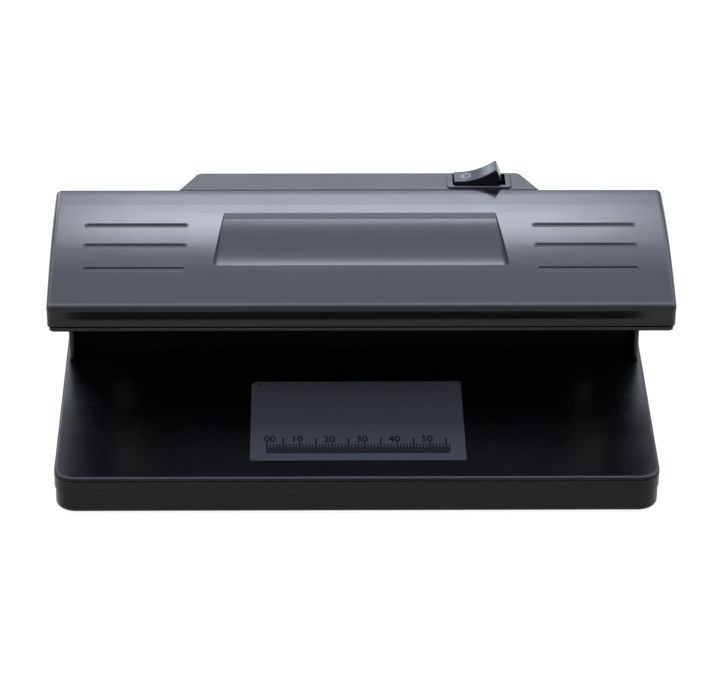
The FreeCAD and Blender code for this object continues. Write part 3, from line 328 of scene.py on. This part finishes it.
def reflector_metal():
    return metal("reflector_sheet", (0.80, 0.80, 0.81), (0.88, 0.88, 0.89), (0.12, 0.22), (0.04, 6, 6),
                 0.8 * MM).material


def cap_metal():
    return metal("tube_cap", (0.72, 0.72, 0.73), (0.82, 0.82, 0.82), (0.24, 0.38), (8, 1, 1)).material


def brass():
    return metal("brass", (0.62, 0.44, 0.18), (0.78, 0.58, 0.27), (0.22, 0.38)).material


def spring_steel():
    return metal("spring_steel", (0.48, 0.48, 0.50), (0.62, 0.62, 0.64), (0.2, 0.34)).material


def filament():
    return metal("filament", (0.20, 0.19, 0.18), (0.34, 0.33, 0.31), (0.4, 0.6), cell=0.15 * MM).material


def tube_glass():
    """Tube that is switched off: clear glass over a pale violet-white coat, darker at the ends."""
    m = Nodes("tube_glass")
    split = m.add("ShaderNodeSeparateXYZ")
    m.link(m.place, split.inputs["Vector"])
    reach = m.add("ShaderNodeMath", operation="ABSOLUTE")
    m.link(split.outputs["X"], reach.inputs[0])
    ends = m.ramp(reach.outputs["Value"], 0.0, 1.0, TUBE_END_X - 14 * MM, TUBE_END_X - 2 * MM)
    mix = m.add("ShaderNodeMix", data_type="RGBA")
    m.link(ends, mix.inputs["Factor"])
    m.link(m.blend(m.noise(6 * MM, 3), (0.66, 0.66, 0.76), (0.74, 0.73, 0.83)), mix.inputs["A"])
    mix.inputs["B"].default_value = (0.22, 0.20, 0.24, 1)
    m.link(mix.outputs["Result"], m.shader.inputs["Base Color"])
    m.roughness(m.noise(2 * MM, 2), 0.10, 0.16)
    m.set(Coat_Weight=1.0, Coat_Roughness=0.03, Transmission_Weight=0.12)
    return m.material


def holder_plastic():
    m = moulded_plastic("holder_plastic", (0.66, 0.66, 0.62), (0.74, 0.74, 0.70), (0.34, 0.44), 0.4 * MM,
                        0.01 * MM)
    m.set(Subsurface_Weight=0.08, Subsurface_Scale=0.002)
    return m.material


def board_laminate():
    m = Nodes("board_laminate")
    m.colour(m.noise(0.8 * MM, 4, 0.6, (1, 1, 3)), (0.30, 0.19, 0.08), (0.42, 0.28, 0.13))
    m.roughness(m.noise(3 * MM, 3), 0.45, 0.6)
    m.bump([(m.noise(0.5 * MM, 2), 0.01 * MM, 0.3)])
    return m.material


def ferrite():
    m = Nodes("ferrite")
    m.colour(m.noise(0.5 * MM, 4), (0.016, 0.016, 0.018), (0.034, 0.034, 0.037))
    m.roughness(m.noise(1 * MM, 3), 0.5, 0.75)
    m.bump([(m.noise(0.25 * MM, 3), 0.03 * MM, 0.5)], 0.2 * MM)
    return m.material


def winding_tape():
    """Yellow polyester tape wound round the coil, with the edge of each turn showing."""
    m = Nodes("winding_tape")
    bands = m.add("ShaderNodeTexWave", bands_direction="Z")
    bands.inputs["Scale"].default_value = 320
    bands.inputs["Distortion"].default_value = 0.6
    m.link(m.place, bands.inputs["Vector"])
    m.colour(bands.outputs["Fac"], (0.58, 0.38, 0.03), (0.72, 0.52, 0.07), 0.2, 0.8)
    m.roughness(m.noise(2 * MM, 2), 0.2, 0.32)
    m.bump([(bands.outputs["Fac"], 0.03 * MM, 0.4)])
    return m.material


def sleeved_can():
    m = Nodes("sleeved_can")
    m.colour(m.noise(5 * MM, 3), (0.012, 0.020, 0.055), (0.020, 0.032, 0.080))
    m.roughness(m.noise(3 * MM, 2), 0.18, 0.30)
    m.bump([(m.noise(2 * MM, 2), 0.02 * MM, 0.3)], 0.2 * MM)
    return m.material


def epoxy_package():
    return moulded_plastic("epoxy_package", (0.010, 0.010, 0.010), (0.018, 0.018, 0.018), (0.45, 0.6),
                           0.15 * MM, 0.01 * MM).material


def fuse_glass():
    m = Nodes("fuse_glass")
    m.colour(m.noise(2 * MM), (0.62, 0.66, 0.66), (0.72, 0.76, 0.76))
    m.roughness(m.noise(2 * MM), 0.05, 0.1)
    m.set(Transmission_Weight=0.7)
    m.bump([(m.noise(1 * MM), 0.004 * MM, 0.2)])
    return m.material


def nylon():
    return moulded_plastic("nylon", (0.68, 0.67, 0.60), (0.76, 0.75, 0.68), (0.34, 0.46), 0.3 * MM,
                           0.01 * MM).material


def lead_insulation():
    return moulded_plastic("lead_insulation", (0.62, 0.62, 0.60), (0.72, 0.72, 0.69), (0.38, 0.5), 0.3 * MM,
                           0.008 * MM, 0).material


def dark_print():
    """Screen-printed dark ink, slightly uneven."""
    m = Nodes("dark_print")
    m.colour(m.noise(0.3 * MM, 3), (0.0010, 0.0011, 0.0014), (0.0016, 0.0018, 0.0024))
    m.roughness(m.noise(0.5 * MM), 0.4, 0.5)
    m.set(Specular_IOR_Level=0.15)
    m.bump([(m.noise(0.12 * MM), 0.004 * MM, 0.3)])
    return m.material


def marking_paint():
    m = Nodes("marking_paint")
    m.colour(m.noise(0.4 * MM, 3), (0.045, 0.047, 0.050), (0.060, 0.062, 0.066))
    m.roughness(m.noise(0.5 * MM), 0.4, 0.55)
    m.bump([(m.noise(0.15 * MM), 0.006 * MM, 0.3)])
    return m.material


MATERIAL_MAKERS = {
    "black_abs": black_abs, "hood_abs": hood_abs, "switch_plastic": switch_plastic, "ruler_film": ruler_film,
    "rating_film": rating_film, "rubber": rubber, "steel": steel, "reflector_metal": reflector_metal,
    "holder_plastic": holder_plastic, "tube_glass": tube_glass, "cap_metal": cap_metal, "brass": brass,
    "spring_steel": spring_steel, "filament": filament, "board": board_laminate, "ferrite": ferrite,
    "winding": winding_tape, "capacitor": sleeved_can, "semiconductor": epoxy_package, "fuse": fuse_glass,
    "connector": nylon, "lead": lead_insulation,
}


def paint_frame():
    """Gives every CAD node the procedural material of its slot."""
    made = {slot: maker() for slot, maker in MATERIAL_MAKERS.items()}
    for part in frame["record"]["subparts"]:
        node = frame["nodes"][part["node"]]
        for slot in node.material_slots:
            slot.material = made[part["material_slot"]]


# ---------------------------------------------------------------- pieces
BOX_FACES = ((0, 1, 3, 2), (4, 6, 7, 5), (0, 4, 5, 1), (2, 3, 7, 6), (0, 2, 6, 4), (1, 5, 7, 3))


def add_piece(name, mesh, material, body):
    """Puts a mesh into the scene as one piece that rides on a body."""
    piece = bpy.data.objects.new(name, mesh)
    bpy.context.collection.objects.link(piece)
    mesh.materials.clear()
    mesh.materials.append(material)
    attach(piece, body)


def new_object(name, mesh_builder, material, body="housing"):
    """A piece whose mesh is drawn by mesh_builder."""
    mesh = bpy.data.meshes.new(name)
    shape = bmesh.new()
    mesh_builder(shape)
    shape.to_mesh(mesh)
    shape.free()
    add_piece(name, mesh, material, body)


def add_box(shape, corners):
    """A closed box between eight corners; the third direction changes fastest from corner to corner."""
    made = [shape.verts.new(corner) for corner in corners]
    for face in BOX_FACES:
        shape.faces.new([made[i] for i in face])


def add_block(shape, low, high):
    xs, ys, zs = zip(low, high)
    add_box(shape, [Vector((x, y, z)) for x in xs for y in ys for z in zs])


# ---------------------------------------------------------------- the label's print
RULER_LENGTH_MM = 56
RULER_START = LABEL_LOW[0] + 5.1 * MM
RULER_LINE = LABEL_LOW[1] + 4.5 * MM
RULER_LINE_WIDTH = 0.45 * MM
TICK_LENGTH = 5.0 * MM
HALF_TICK_LENGTH = 3.0 * MM
TEN_EXTRA, ODD_FIVE_EXTRA = 0.9 * MM, 3.4 * MM
FIVE_WIDTH, TICK_WIDTH, HALF_TICK_WIDTH = 0.54 * MM, 0.46 * MM, 0.40 * MM
PRINT_THICKNESS = 0.02 * MM
DIGIT_GAP = 1.2 * MM
DIGIT_HEIGHT = 3.6 * MM
FONT_SIZE = DIGIT_HEIGHT * 1.38
DIGIT_SQUEEZE = 0.72
DIGIT_BOLD = 0.12 * MM
FIRST_NUDGE, TENS_NUDGE = 0.9 * MM, -0.8 * MM
DOT_RADIUS, DOT_STEPS = 0.45 * MM, 20
DOT_FROM_LEFT, DOT_FROM_REAR = 2.6 * MM, 1.6 * MM


def ruler_ticks(material):
    """A base line, one tick for each millimetre, short half ticks and longer ones at every odd five."""
    bottom = LABEL_HIGH[2]
    top = bottom + PRINT_THICKNESS

    def tick(shape, x, length, width):
        add_block(shape, (x - width / 2, RULER_LINE, bottom), (x + width / 2, RULER_LINE + length, top))

    def build(shape):
        end = RULER_START + RULER_LENGTH_MM * MM
        add_block(shape, (RULER_START, RULER_LINE - RULER_LINE_WIDTH, bottom), (end, RULER_LINE, top))
        for i in range(RULER_LENGTH_MM + 1):
            x = RULER_START + i * MM
            extra = {0: TEN_EXTRA, 5: ODD_FIVE_EXTRA}.get(i % 10, 0)
            tick(shape, x, TICK_LENGTH + extra, FIVE_WIDTH if i % 5 == 0 else TICK_WIDTH)
            if i < RULER_LENGTH_MM:
                tick(shape, x + 0.5 * MM, HALF_TICK_LENGTH, HALF_TICK_WIDTH)

    new_object("ruler_ticks", build, material)


def flat_figures(name, figures, place, material):
    """Printed figures, centred on a place on the label."""
    curve = bpy.data.curves.new(name, "FONT")
    curve.body = figures
    curve.size = FONT_SIZE
    curve.align_x = "CENTER"
    curve.extrude = PRINT_THICKNESS / 2
    curve.offset = DIGIT_BOLD
    curve.resolution_u = 3
    text = bpy.data.objects.new(name + "_curve", curve)
    bpy.context.collection.objects.link(text)
    mesh = bpy.data.meshes.new_from_object(text)
    bpy.data.objects.remove(text)
    mesh.transform(Matrix.Translation(place) @ Matrix.Diagonal((DIGIT_SQUEEZE, 1, 1, 1)))
    add_piece(name, mesh, material, "housing")


def ruler_digits(material):
    """The figures 00 to 50, each a little left of its tick apart from the first."""
    front = RULER_LINE + TICK_LENGTH + DIGIT_GAP
    for tens in range(6):
        nudge = TENS_NUDGE if tens else FIRST_NUDGE
        place = Vector((RULER_START + tens * 10 * MM + nudge, front, LABEL_HIGH[2] + PRINT_THICKNESS / 2))
        figures = "%d0" % tens
        flat_figures("ruler_digits_" + figures, figures, place, material)


def label_dot(material):
    """The small printed dot near the label's rear left corner."""
    middle_z = LABEL_HIGH[2] + PRINT_THICKNESS / 2
    centre = Vector((LABEL_LOW[0] + DOT_FROM_LEFT, LABEL_HIGH[1] - DOT_FROM_REAR, middle_z))

    def build(shape):
        made = bmesh.ops.create_cone(shape, cap_ends=True, segments=DOT_STEPS, radius1=DOT_RADIUS,
                                     radius2=DOT_RADIUS, depth=PRINT_THICKNESS)
        bmesh.ops.translate(shape, verts=made["verts"], vec=centre)

    new_object("label_dot", build, material)


# ---------------------------------------------------------------- the rocker's marks
ROCKER_PIVOT = Vector(JOINTS["rocker_tilt"]["pos_m"])
ROCKER_TILT = math.radians(JOINTS["rocker_tilt"]["range_deg"][1]) / 2
VALLEY_LIFT = 3.27 * MM
VALLEY_RADIUS = 20.0 * MM
MARK_TOP, MARK_BOTTOM = 0.02 * MM, -0.05 * MM
RING_OUTER, RING_INNER, RING_STEPS = 1.55 * MM, 1.05 * MM, 40
RING_PLACE = -3.2 * MM
BAR_HALF_WIDTH, BAR_HALF_LENGTH = 0.25 * MM, 1.35 * MM
BAR_PLACE = 4.4 * MM


def on_rocker(along, across, lift):
    """A place on the rocker's hollow top; along runs on its arc from the middle to the raised right end."""
    turn = along / VALLEY_RADIUS
    radius = VALLEY_RADIUS - lift
    height = VALLEY_LIFT + VALLEY_RADIUS - radius * math.cos(turn)
    level = Vector((radius * math.sin(turn), across, height))
    return ROCKER_PIVOT + Matrix.Rotation(-ROCKER_TILT, 3, "Y") @ level


def ring_loop(shape, radius, lift):
    """One circle of vertices that lies on the rocker's top around the ring's place."""
    turns = [2 * math.pi * i / RING_STEPS for i in range(RING_STEPS)]
    places = [on_rocker(RING_PLACE + radius * math.cos(t), radius * math.sin(t), lift) for t in turns]
    return [shape.verts.new(place) for place in places]


def draw_ring(shape):
    """A flat ring with a square section, set a little into the rocker."""
    corners = ((RING_OUTER, MARK_BOTTOM), (RING_OUTER, MARK_TOP),
               (RING_INNER, MARK_TOP), (RING_INNER, MARK_BOTTOM))
    loops = [ring_loop(shape, radius, lift) for radius, lift in corners]
    for near, far in zip(loops, loops[1:] + loops[:1]):
        for i in range(RING_STEPS):
            following = (i + 1) % RING_STEPS
            shape.faces.new((near[i], near[following], far[following], far[i]))
    bmesh.ops.recalc_face_normals(shape, faces=shape.faces)


def draw_bar(shape):
    add_box(shape, [on_rocker(BAR_PLACE + a * BAR_HALF_WIDTH, b * BAR_HALF_LENGTH, lift)
                    for a in (-1, 1) for b in (-1, 1) for lift in (MARK_BOTTOM, MARK_TOP)])
    bmesh.ops.recalc_face_normals(shape, faces=shape.faces)


def rocker_marks(material):
    """The off and on marks, a ring and a bar, set into the rocker's top."""
    new_object("rocker_mark_ring", draw_ring, material, body="rocker")
    new_object("rocker_mark_bar", draw_bar, material, body="rocker")


# ---------------------------------------------------------------- the whole scene
make_camera()
make_sky()
make_lights()
make_floor()
paint_frame()
PRINT = dark_print()
ruler_ticks(PRINT)
ruler_digits(PRINT)
label_dot(PRINT)
rocker_marks(marking_paint())
